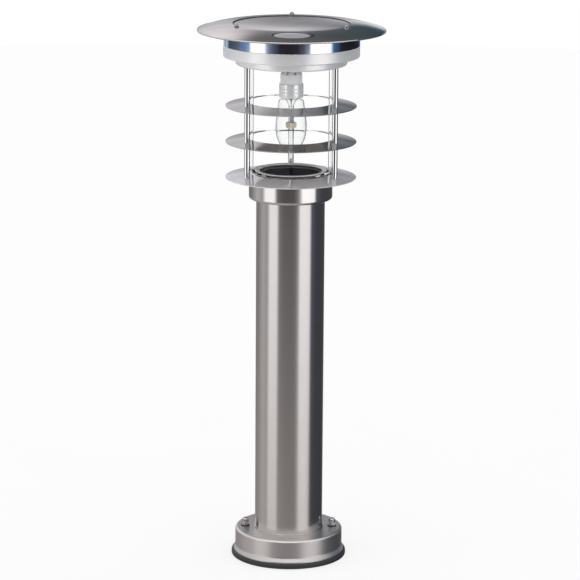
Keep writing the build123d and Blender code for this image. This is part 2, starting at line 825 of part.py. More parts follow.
def holder_tongue():
    """Sprung brass strip above the lamp's centre contact."""
    strip = Box(tongue_length, tongue_width, tongue_sheet,
                align=(Align.CENTER, Align.CENTER, Align.MAX))
    return Pos(0, 0, cavity_top) * strip


# ---------------------------------------------------------------- lamp
def lamp_contact():
    """Centre contact; the cap turns round its axis."""
    return turned((0, insulator_top), (contact_radius, insulator_top),
                  (contact_radius, contact_top, contact_round), (0, contact_top))


def lamp_insulator():
    return turned((0, cap_top), (cap_radius - cap_wall, cap_top),
                  (contact_radius + contact_border, insulator_top), (0, insulator_top))


def lamp_cap():
    """Screw shell with a wide skirt that holds the neck of the glass."""
    inner = cap_radius - cap_wall
    skirt_inner_radius = cap_skirt_radius - cap_wall
    skirt_top = cap_bottom + cap_skirt_height
    return turned((inner, cap_top), (cap_radius, cap_top, hairline),
                  (cap_radius, skirt_top + cap_shoulder, soft_edge),
                  (cap_skirt_radius, skirt_top, hairline), (cap_skirt_radius, cap_bottom),
                  (skirt_inner_radius, cap_bottom),
                  (skirt_inner_radius, skirt_top - cap_wall, hairline),
                  (inner, skirt_top + cap_inner_shoulder, soft_edge))


def glass_outline(wall):
    """Half outline of the envelope, from its neck to its tip, at a depth inside its face."""
    shoulder = glass_top - glass_to_shoulder
    tip = glass_top - glass_length
    neck = Spline((glass_neck_radius - wall, glass_top), (glass_shoulder - wall, shoulder),
                  tangents=((1.2, -0.2), (0.1, -1)))
    belly = Spline((glass_shoulder - wall, shoulder), (glass_radius - wall, glass_top - glass_to_widest),
                   (glass_taper_radius - wall, glass_top - glass_to_taper),
                   (glass_tip_radius - wall / 2, tip + glass_tip_height + wall),
                   (0, tip + wall), tangents=((0.1, -1), (-1, 0)))
    return neck, belly


def lamp_glass():
    outer_neck, outer_belly = glass_outline(0)
    inner_neck, inner_belly = glass_outline(glass_wall)
    rim = Line(outer_neck @ 0, inner_neck @ 0)
    tip = Line(outer_belly @ 1, inner_belly @ 1)
    return turned_from(outer_neck, outer_belly, tip, inner_belly, inner_neck, rim)


def lamp_stem():
    """Glass mount: a flared foot sealed in the neck, and a rod that carries the LED post."""
    foot = glass_top - stem_foot_height
    return turned((0, glass_top), (glass_neck_radius - glass_wall - weld_gap, glass_top),
                  (stem_foot_radius, glass_top - full_edge, fine_edge), (stem_radius, foot, stem_flare),
                  (stem_radius, stem_bottom, fine_edge), (0, stem_bottom))


def lamp_leads():
    """Three wires from the stem's end, held apart by the LED post."""
    lead = round_bar(lead_radius, carrier_top, stem_bottom)
    return copies(lead, around(lead_circle, three_ways))


def led_post():
    """Hexagonal post with a face for each chip."""
    post = hex_bar(carrier_flats, carrier_bottom, carrier_top)
    return chamfer(post.edges().group_by(Axis.Z)[-1], fine_edge)


def led_chips():
    chip = Box(chip_thickness, chip_width, chip_height, align=(Align.MIN, Align.CENTER, Align.CENTER))
    chip = Pos(0, 0, (carrier_top + carrier_bottom) / 2) * chip
    chip_angles = [360 / chip_count * step for step in range(chip_count)]
    return copies(chip, around(carrier_flats / 2, chip_angles))


def lamp_pin():
    """Sealed end of the tube through which the lamp was filled."""
    low = carrier_bottom - pin_length
    return turned((0, carrier_bottom), (pin_radius, carrier_bottom), (pin_radius, low, pin_round), (0, low))


# ---------------------------------------------------------------- files
def save(name, made):
    """Write one piece; a list of solids becomes one group."""
    if isinstance(made, list):
        made = Compound(children=made)
    export_step(made, f"parts/{name}.step")


PIECES = (
    base_gasket, ground_plate, ground_studs, cable_grommet, base_cover, base_washers,
    base_cap_nuts, post_tube, collar, post_lid, support_rods, rod_nuts_lower, rod_nuts_upper,
    seat_ring, seat_seal, jar_cushion, jar_seal, diffuser_jar, jar_clips, jar_clip_screws,
    roof_studs, roof_shell, roof_oval_inlay, roof_top_plate, top_plate_nut, roof_skirt,
    roof_washers, roof_dome_nuts, holder_bridge, holder_nipple, nipple_nuts, terminal_block,
    lampholder_body, lampholder_sleeve, holder_liner, holder_tongue, lamp_contact,
    lamp_insulator, lamp_cap, lamp_glass, lamp_stem, lamp_leads, led_post, led_chips, lamp_pin,
)

os.makedirs("parts", exist_ok=True)
for piece in PIECES:
    save(piece.__name__, piece())
for index, level in enumerate(louvre_levels):
    save(f"louvre_ring_{level}", louvre_ring(index))
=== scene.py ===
"""Looks of the bollard garden light: studio, camera, fine detail and procedural finishes.

Metres, in the CAD frame: +Z up, the ground at 0, the front towards -Y.
"""

import math

import bmesh
import bpy
from mathutils import Matrix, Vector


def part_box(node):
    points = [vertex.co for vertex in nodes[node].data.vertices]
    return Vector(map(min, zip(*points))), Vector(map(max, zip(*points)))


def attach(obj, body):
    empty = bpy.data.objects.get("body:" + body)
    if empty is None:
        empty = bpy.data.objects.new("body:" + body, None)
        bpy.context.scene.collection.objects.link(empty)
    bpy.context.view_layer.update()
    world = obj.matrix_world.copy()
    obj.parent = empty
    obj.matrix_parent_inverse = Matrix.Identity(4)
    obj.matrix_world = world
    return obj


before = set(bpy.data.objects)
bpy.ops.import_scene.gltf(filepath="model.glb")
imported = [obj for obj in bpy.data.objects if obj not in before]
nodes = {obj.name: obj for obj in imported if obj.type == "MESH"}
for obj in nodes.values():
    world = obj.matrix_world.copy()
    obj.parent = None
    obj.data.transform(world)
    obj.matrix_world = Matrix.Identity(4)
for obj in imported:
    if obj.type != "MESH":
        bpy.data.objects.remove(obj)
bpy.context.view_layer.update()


# ---------------------------------------------------------------- node helpers
def new_material(name):
    """A node material, its tree and its Principled shader."""
    material = bpy.data.materials.new(name)
    material.use_nodes = True
    tree = material.node_tree
    shader = tree.nodes["Principled BSDF"]
    return material, tree, shader


def add(tree, kind, **settings):
    """Adds a node; settings name its properties."""
    node = tree.nodes.new(kind)
    for key, value in settings.items():
        setattr(node, key, value)
    return node


def math_node(tree, operation, first, second=None):
    """A Math node on sockets or numbers; returns its output socket."""
    node = add(tree, "ShaderNodeMath", operation=operation)
    for socket, value in zip(node.inputs, (first, second)):
        if value is None:
            continue
        if isinstance(value, (int, float)):
            socket.default_value = value
        else:
            tree.links.new(value, socket)
    return node.outputs[0]


def combine(tree, x, y, z):
    """A vector from three sockets or numbers."""
    node = add(tree, "ShaderNodeCombineXYZ")
    for socket, value in zip(node.inputs, (x, y, z)):
        if isinstance(value, (int, float)):
            socket.default_value = value
        else:
            tree.links.new(value, socket)
    return node.outputs[0]


def noise(tree, vector, scale, detail=2.0, roughness=0.5):
    """A 0 to 1 noise over a vector."""
    node = add(tree, "ShaderNodeTexNoise")
    node.inputs["Scale"].default_value = scale
    node.inputs["Detail"].default_value = detail
    node.inputs["Roughness"].default_value = roughness
    tree.links.new(vector, node.inputs["Vector"])
    return node.outputs["Fac"]


def ramp(tree, value, stops):
    """A colour ramp from (position, colour) pairs."""
    node = add(tree, "ShaderNodeValToRGB")
    elements = node.color_ramp.elements
    while len(elements) < len(stops):
        elements.new(0.5)
    for element, (position, colour) in zip(elements, stops):
        element.position = position
        element.color = (*colour, 1)
    tree.links.new(value, node.inputs["Fac"])
    return node.outputs["Color"]


def spread(tree, value, low, high):
    """Stretches a 0 to 1 socket to low to high."""
    node = add(tree, "ShaderNodeMapRange")
    node.inputs["To Min"].default_value = low
    node.inputs["To Max"].default_value = high
    tree.links.new(value, node.inputs["Value"])
    return node.outputs["Result"]


def mix_colours(tree, share, first, second):
    """A blend of two colours, each a socket or three numbers, by a 0 to 1 socket."""
    node = add(tree, "ShaderNodeMix", data_type="RGBA")
    tree.links.new(share, node.inputs["Factor"])
    for socket, colour in ((node.inputs["A"], first), (node.inputs["B"], second)):
        if isinstance(colour, tuple):
            socket.default_value = (*colour, 1)
        else:
            tree.links.new(colour, socket)
    return node.outputs["Result"]


def bump(tree, shader, height, distance, under=None):
    """Bends the shader's normal by a height; under is an earlier bump's normal. Returns the new one."""
    node = add(tree, "ShaderNodeBump")
    node.inputs["Distance"].default_value = distance
    tree.links.new(height, node.inputs["Height"])
    if under is not None:
        tree.links.new(under, node.inputs["Normal"])
    tree.links.new(node.outputs["Normal"], shader.inputs["Normal"])
    return node.outputs["Normal"]


def object_axes(tree):
    """The object's coordinates, which are the CAD frame's, as a vector and as x, y and z."""
    place = add(tree, "ShaderNodeTexCoord").outputs["Object"]
    axes = add(tree, "ShaderNodeSeparateXYZ")
    tree.links.new(place, axes.inputs[0])
    return place, axes.outputs


def radius_of(tree):
    """Distance from the Z axis, and the object's coordinates."""
    place, (x, y, _) = object_axes(tree)
    squares = math_node(tree, "ADD", math_node(tree, "MULTIPLY", x, x), math_node(tree, "MULTIPLY", y, y))
    return math_node(tree, "SQRT", squares), place


def turned_grain(tree):
    """Coordinates for lines that run round the Z axis: slow along them, fast across."""
    _, (x, y, z) = object_axes(tree)
    radius, _ = radius_of(tree)
    across = math_node(tree, "MULTIPLY", math_node(tree, "ADD", z, radius), GRAIN_ACROSS)
    along = [math_node(tree, "MULTIPLY", math_node(tree, "DIVIDE", side, radius), GRAIN_ALONG) for side in (x, y)]
    return combine(tree, *along, across)


def two_tones(tree, value, colour, contrast):
    """A colour that varies with a 0 to 1 socket, darker and lighter by a share."""
    dark = tuple(c * (1 - contrast) for c in colour)
    light = tuple(min(1.0, c * (1 + contrast)) for c in colour)
    return ramp(tree, value, ((0.3, dark), (0.7, light)))


# ---------------------------------------------------------------- finishes
GRAIN_ACROSS = 4200.0   # brushing lines in each metre
GRAIN_ALONG = 3.0       # and round the axis
LINE_SHARE = 0.7        # share of the brushing lines in a metal's shade, next to its broad clouds
BRIM_START = 0.0645     # radius of the lip, where the brim starts
BRIM_WIDTH = 0.0382
BRIM_CONE = math.tan(math.radians(6.5))     # how far the brim's normals lean out at the lip
LOUVRE_CONE = math.tan(math.radians(5.5))   # how far a louvre's normals lean towards level
LID_CAP = 0.0347        # radius of the lid's dark cap; its near-black is partly painted shade, and the pale rim outside it is painted highlight


def coned(tree, shader):
    """Leans the brim's normals outwards next to the lip, where the real brim starts steeper than one arc."""
    radius, _ = radius_of(tree)
    out = math_node(tree, "MAXIMUM", math_node(tree, "SUBTRACT", radius, BRIM_START), 0.0)
    fall = math_node(tree, "SUBTRACT", out,
                     math_node(tree, "DIVIDE", math_node(tree, "MULTIPLY", out, out), 2 * BRIM_WIDTH))
    return bump(tree, shader, math_node(tree, "MULTIPLY", fall, -BRIM_CONE), 1.0)


def flattened(tree, shader):
    """Leans a louvre's normals a few degrees towards level, for what it mirrors."""
    radius, _ = radius_of(tree)
    return bump(tree, shader, math_node(tree, "MULTIPLY", radius, LOUVRE_CONE), 1.0)


def brushed_metal(name, colour, roughness, anisotropy, depth, contrast, metallic=1.0, form=None):
    """Metal brushed round the Z axis; form bends its normals before the brushing does."""
    material, tree, shader = new_material(name)
    normal = form(tree, shader) if form else None
    lines = noise(tree, turned_grain(tree), 1.0, detail=3.0, roughness=0.6)
    place, _ = object_axes(tree)
    clouds = noise(tree, place, 28.0)
    mixed = math_node(tree, "ADD", math_node(tree, "MULTIPLY", lines, LINE_SHARE),
                      math_node(tree, "MULTIPLY", clouds, 1 - LINE_SHARE))
    tree.links.new(two_tones(tree, mixed, colour, contrast), shader.inputs["Base Color"])
    tree.links.new(spread(tree, mixed, 0.8 * roughness, 1.2 * roughness), shader.inputs["Roughness"])
    shader.inputs["Metallic"].default_value = metallic
    shader.inputs["Anisotropic"].default_value = anisotropy
    shader.inputs["Anisotropic Rotation"].default_value = 0.25
    tangent = add(tree, "ShaderNodeTangent", direction_type="RADIAL", axis="Z")
    tree.links.new(tangent.outputs[0], shader.inputs["Tangent"])
    bump(tree, shader, lines, depth, normal)
    return material


def plain_metal(name, colour, roughness, mottle, depth=0.0, scale=300.0):
    """Metal with an even finish and a faint mottle."""
    material, tree, shader = new_material(name)
    place, _ = object_axes(tree)
    clouds = noise(tree, place, scale, detail=3.0)
    tree.links.new(two_tones(tree, clouds, colour, mottle), shader.inputs["Base Color"])
    tree.links.new(spread(tree, clouds, 0.8 * roughness, 1.2 * roughness), shader.inputs["Roughness"])
    shader.inputs["Metallic"].default_value = 1.0
    if depth:
        bump(tree, shader, clouds, depth)
    return material


def moulded(name, colour, roughness, mottle, depth, scale, coat=0.0, specular=0.5):
    """Plastic or rubber with a fine moulded skin."""
    material, tree, shader = new_material(name)
    place, _ = object_axes(tree)
    clouds = noise(tree, place, scale, detail=3.0)
    tree.links.new(two_tones(tree, clouds, colour, mottle), shader.inputs["Base Color"])
    tree.links.new(spread(tree, clouds, 0.85 * roughness, 1.15 * roughness), shader.inputs["Roughness"])
    shader.inputs["Coat Weight"].default_value = coat
    shader.inputs["Specular IOR Level"].default_value = specular
    bump(tree, shader, clouds, depth)
    return material


def lid_with_painted_light(name):
    """The post's lid: a black cap whose near-black blue is partly painted shade of the post's shaded inside, with a
    pale rim of painted highlight round it.
    """
    material, tree, shader = new_material(name)
    radius, place = radius_of(tree)
    clouds = noise(tree, place, 60.0, detail=4.0)
    rim = math_node(tree, "GREATER_THAN", radius, LID_CAP)
    # The cap's near-black blue is partly painted shade: a black plastic cap made darker to stand for the shade down
    # inside the post.
    cap = ramp(tree, clouds, ((0.3, (0.003, 0.004, 0.010)), (0.7, (0.010, 0.013, 0.026))))
    # The pale rim round the cap is a painted highlight, standing for the glints of the jar's curved glass corner
    # above it.
    tree.links.new(mix_colours(tree, rim, cap, (0.85, 0.86, 0.88)), shader.inputs["Base Color"])
    tree.links.new(math_node(tree, "MULTIPLY", rim, 0.2), shader.inputs["Metallic"])
    tree.links.new(spread(tree, clouds, 0.3, 0.5), shader.inputs["Roughness"])
    shader.inputs["Specular IOR Level"].default_value = 0.0
    bump(tree, shader, clouds, 0.000004)
    return material


def clear(name, colour, ior, roughness, waviness):
    """Clear glass or plastic with a faintly uneven surface."""
    material, tree, shader = new_material(name)
    place, _ = object_axes(tree)
    waves = noise(tree, place, 40.0, detail=1.0)
    shader.inputs["Base Color"].default_value = (*colour, 1)
    tree.links.new(spread(tree, waves, 0.5 * roughness, 1.5 * roughness), shader.inputs["Roughness"])
    shader.inputs["IOR"].default_value = ior
    shader.inputs["Transmission Weight"].default_value = 1.0
    bump(tree, shader, waves, waviness)
    return material


STEEL = (0.63, 0.605, 0.595)
FINISHES = {
    "brushed_steel": brushed_metal("brushed_steel", STEEL, 0.16, 0.8, 0.000004, 0.05),
    "polished_collar": brushed_metal("polished_collar", (0.68, 0.66, 0.65), 0.12, 0.6, 0.000002, 0.03),
    "polished_steel": plain_metal("polished_steel", (0.78, 0.78, 0.79), 0.05, 0.02),
    "zinc_plated_steel": plain_metal("zinc_plated_steel", (0.62, 0.64, 0.66), 0.3, 0.08, 0.000005),
    "satin_aluminium": brushed_metal("satin_aluminium", (0.97, 0.97, 0.99), 0.37, 0.3, 0.000004, 0.02,
                                     metallic=0.60),
    "black_rubber": moulded("black_rubber", (0.022, 0.023, 0.026), 0.55, 0.15, 0.00002, 900.0),
    "clear_silicone": moulded("clear_silicone", (0.75, 0.76, 0.76), 0.4, 0.03, 0.000005, 400.0),
    "clear_jar": clear("clear_jar", (0.997, 1.0, 0.999), 1.015, 0.003, 0.000003),
    "lamp_glass": clear("lamp_glass", (0.99, 0.995, 0.995), 1.3, 0.004, 0.000003),
    "black_gloss": moulded("black_gloss", (0.008, 0.01, 0.018), 0.15, 0.1, 0.000003, 300.0, coat=0.5),
    "white_plastic": moulded("white_plastic", (0.92, 0.92, 0.94), 0.4, 0.02, 0.000005, 500.0),
    "brass": plain_metal("brass", (0.80, 0.58, 0.27), 0.25, 0.06),
    "nickel_cap": plain_metal("nickel_cap", (0.70, 0.69, 0.67), 0.22, 0.05),
    "led_phosphor": moulded("led_phosphor", (0.95, 0.80, 0.45), 0.5, 0.05, 0.00001, 900.0),
}

LOUVRE_STEEL = brushed_metal("louvre_steel", (0.52, 0.505, 0.50), 0.08, 0.5, 0.000002, 0.05, form=flattened)
# A white ring of painted highlight in the jar's floor corner, where the curved glass glints.
RING_PAINTED_HIGHLIGHT = moulded("ring_painted_highlight", (0.97, 0.97, 0.98), 0.15, 0.02, 0.000005, 400.0, specular=1.0)
# A darker copy of the polished steel for the nuts: painted shade for their dark look; the foot weld uses it too.
DARKENED_NUT_STEEL = plain_metal("darkened_nut_steel", (0.42, 0.42, 0.43), 0.06, 0.10)
OWN_FINISHES = {        # nodes whose finish differs from their slot's
    "roof_shell": brushed_metal("roof_steel", STEEL, 0.14, 0.6, 0.000003, 0.04, form=coned),
    "roof_top_plate": brushed_metal("plate_steel", STEEL, 0.12, 0.5, 0.000003, 0.04),
    "roof_oval_inlay": brushed_metal("oval_steel", (0.72, 0.72, 0.74), 0.2, 0.3, 0.000002, 0.08, metallic=0.6),
    "roof_dome_nuts": DARKENED_NUT_STEEL,
    "lampholder_sleeve": brushed_metal("holder_chrome", (0.97, 0.97, 0.98), 0.2, 0.3, 0.000002, 0.03, metallic=0.4),
    "louvre_ring_upper": LOUVRE_STEEL,
    "louvre_ring_middle": LOUVRE_STEEL,
    # The lowest louvre gets a paler, half-matt copy of the louvre steel: painted light.
    "louvre_ring_lower": brushed_metal("low_louvre_painted_light_steel", (0.80, 0.78, 0.80), 0.06, 0.4, 0.000002, 0.05,
                                       metallic=0.45, form=flattened),
    "post_lid": lid_with_painted_light("lid_black_painted_light"),
    "base_cover": brushed_metal("cover_steel", (0.64, 0.61, 0.60), 0.34, 0.2, 0.000003, 0.05),
    "base_cap_nuts": DARKENED_NUT_STEEL,
    "base_washers": FINISHES["black_rubber"],
}

for name, node in nodes.items():
    for slot in node.material_slots:
        slot.material = OWN_FINISHES.get(name, FINISHES[slot.material.name])


# ---------------------------------------------------------------- fine pieces
SINK = 0.00005          # a small step past a face, so that two surfaces don't coincide
PLATE_GAP = 0.0003      # from the top plate's edge to the wall of its recess
# The seal round the top plate is painted shade: a black ring where the wall of the plate's recess lies in shadow.
SHADE_SEAL_WIDTH = 0.0010
SHADE_SEAL_DOWN = 0.00015     # from the lip to the top of the shade seal
SHADE_SEAL_EDGE = 0.0002      # how far the shade seal's corners are cut
SHADE_SEAL_CLEAR = 0.00003    # from the shade seal to the wall of the recess and the top plate's face
PLATE_EDGE_DOWN = 0.0009    # from the lip to the top plate's face at its edge
BRIM_DROP = 0.0071      # from the lip to the rim
BRIM_BEAD = 0.0009      # how far the rolled rim stands out past the brim's arc
OVAL_INSET = 0.0232     # from the rim to the middle of the oval
# The dark ring round the oval inlay is painted shade: a black piece where the recess round the inlay lies in
# shadow.
OVAL_SHADE_EDGE = (0.0236, 0.0124)  # half width and half depth of the shade ring's outer edge
OVAL_WINDOW = (0.0192, 0.0098)  # and of the part of the inlay it leaves bare
SHADE_EDGE_SHIFT = 0.0010   # how far the shade ring's outer edge lies to the right
WINDOW_SHIFT = 0.0014   # how far the bare part lies towards the rim
SHADE_SECTION = (      # share of the way in from the outer edge, and depth below the brim's face
    (0.0, 0.0001), (0.0, -0.00006), (0.12, -0.00016), (0.8, 0.0), (1.0, 0.00018), (1.0, 0.0003))
WELD_RADIUS = 0.0011
WELD_SINK = 0.0002      # how far the bead reaches into the post and the cover
WELD_RIPPLE = 0.00006
WELD_RIPPLES = 72
JAR_RADIUS = 0.0440
JAR_WALL = 0.0025
JAR_CORNER = 0.0065     # outer radius of the curve from the jar's wall to its floor
FLOOR_RING = 0.0346     # inner radius of the pale ring of painted highlight on the jar's floor
RING_THICKNESS = 0.0012
RING_EDGE = 0.0004      # how far the ring's inner edge is cut
RING_REACH = math.radians(38)   # how far the ring follows the corner's curve
ARC_STEPS = 6


def mesh_piece(name, verts, faces, body, material):
    """A new smooth piece from points and faces, riding on a body."""
    mesh = bpy.data.meshes.new(name)
    mesh.from_pydata(verts, [], faces)
    shape = bmesh.new()
    shape.from_mesh(mesh)
    bmesh.ops.recalc_face_normals(shape, faces=shape.faces)
    shape.to_mesh(mesh)
    shape.free()
    for face in mesh.polygons:
        face.use_smooth = True
    mesh.materials.append(material)
    piece = bpy.data.objects.new(name, mesh)
    bpy.context.collection.objects.link(piece)
    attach(piece, body)


def swept(sections):
    """Points and faces of a closed ring through equal sections, each a closed loop of points."""
    size = len(sections[0])
    verts = [point for section in sections for point in section]
    faces = []
    for step in range(len(sections)):
        here = step * size
        after = (step + 1) % len(sections) * size
        for corner in range(size):
            beside = (corner + 1) % size
            faces.append((here + corner, here + beside, after + beside, after + corner))
    return verts, faces


def round_ring(outline, steps=180):
    """Points and faces of an outline of (radius, height) turned round the Z axis."""
    sections = []
    for step in range(steps):
        angle = 2 * math.pi * step / steps
        sections.append([(radius * math.cos(angle), radius * math.sin(angle), height)
                         for radius, height in outline])
    return swept(sections)


def plate_shade_seal():
    """A black ring of painted shade pressed into the seam round the top plate, standing for the shadow on the wall
    of the plate's recess.
    """
    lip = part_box("roof_shell")[1][2]
    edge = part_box("roof_top_plate")[1][0]
    outer = edge + PLATE_GAP - SHADE_SEAL_CLEAR
    inner = outer - SHADE_SEAL_WIDTH
    low = lip - PLATE_EDGE_DOWN
    high = lip - SHADE_SEAL_DOWN
    outline = ((edge, low + SHADE_SEAL_CLEAR), (outer, low - SHADE_SEAL_EDGE), (outer, high - SHADE_SEAL_EDGE),
               (outer - SHADE_SEAL_EDGE, high), (inner + SHADE_SEAL_EDGE, high - SHADE_SEAL_EDGE / 2),
               (inner, low + 4 * SHADE_SEAL_CLEAR))
    verts, faces = round_ring(outline)
    mesh_piece("plate_shade_seal", verts, faces, "roof", FINISHES["black_rubber"])


def oval_shade_ring():
    """A dark ring of painted shade round the oval inlay, standing for the shadow in its recess, widest on the side
    towards the lip.
    """
    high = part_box("roof_shell")[1]
    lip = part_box("roof_top_plate")[1][0] + PLATE_GAP
    width = high[0] - BRIM_BEAD - lip
    arc = (width ** 2 + BRIM_DROP ** 2) / (2 * BRIM_DROP)
    centre = OVAL_INSET - high[0]
    sections = []
    for step in range(128):
        angle = 2 * math.pi * step / 128
        outer = (OVAL_SHADE_EDGE[0] * math.cos(angle) + SHADE_EDGE_SHIFT, centre + OVAL_SHADE_EDGE[1] * math.sin(angle))
        inner = (OVAL_WINDOW[0] * math.cos(angle), centre - WINDOW_SHIFT + OVAL_WINDOW[1] * math.sin(angle))
        section = []
        for share, depth in SHADE_SECTION:
            x, y = (edge + share * (other - edge) for edge, other in zip(outer, inner))
            out = math.hypot(x, y) - lip
            section.append((x, y, high[2] - arc + math.sqrt((arc - depth) ** 2 - out ** 2)))
        sections.append(section)
    verts, faces = swept(sections)
    mesh_piece("oval_shade_ring", verts, faces, "roof", FINISHES["black_gloss"])


def foot_weld():
    """The rippled bead of weld round the post where it stands on the base cover."""
    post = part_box("post_tube")[1][0]
    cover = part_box("base_cover")[1][2]
    outline = [(post - WELD_SINK, cover - WELD_SINK)]
    for step in range(9):
        angle = math.pi / 2 * step / 8
        outline.append((post + WELD_RADIUS * math.cos(angle), cover + WELD_RADIUS * math.sin(angle)))
    outline.append((post - WELD_SINK, cover + WELD_RADIUS))
    smooth, faces = round_ring(outline, steps=288)
    verts = []
    for x, y, z in smooth:
        ripple = WELD_RIPPLE * math.sin(WELD_RIPPLES * math.atan2(y, x)) if z > cover else 0.0
        verts.append((x, y, z + ripple))
    mesh_piece("foot_weld", verts, faces, "root", DARKENED_NUT_STEEL)


def jar_floor_highlight_ring():
    """A pale ring in the corner of the jar's floor, round the view of the lid below: painted highlight, standing
    for the glints of the jar's curved glass corner.
    """
    floor_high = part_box("diffuser_jar")[0][2] + JAR_WALL
    corner = JAR_CORNER - JAR_WALL
    middle = JAR_RADIUS - JAR_CORNER

    def curve(above):
        """Points a distance above the corner's inner face, from the floor outwards."""
        bend = corner - above
        return [(middle + bend * math.sin(RING_REACH * step / ARC_STEPS),
                 floor_high + corner - bend * math.cos(RING_REACH * step / ARC_STEPS))
                for step in range(ARC_STEPS + 1)]

    outline = [(FLOOR_RING, floor_high + SINK), *curve(SINK), *reversed(curve(RING_THICKNESS)),
               (FLOOR_RING + RING_EDGE, floor_high + RING_THICKNESS),
               (FLOOR_RING, floor_high + RING_THICKNESS - RING_EDGE)]
    verts, faces = round_ring(outline)
    mesh_piece("jar_floor_highlight_ring", verts, faces, "root", RING_PAINTED_HIGHLIGHT)


plate_shade_seal()
jar_floor_highlight_ring()
oval_shade_ring()
foot_weld()


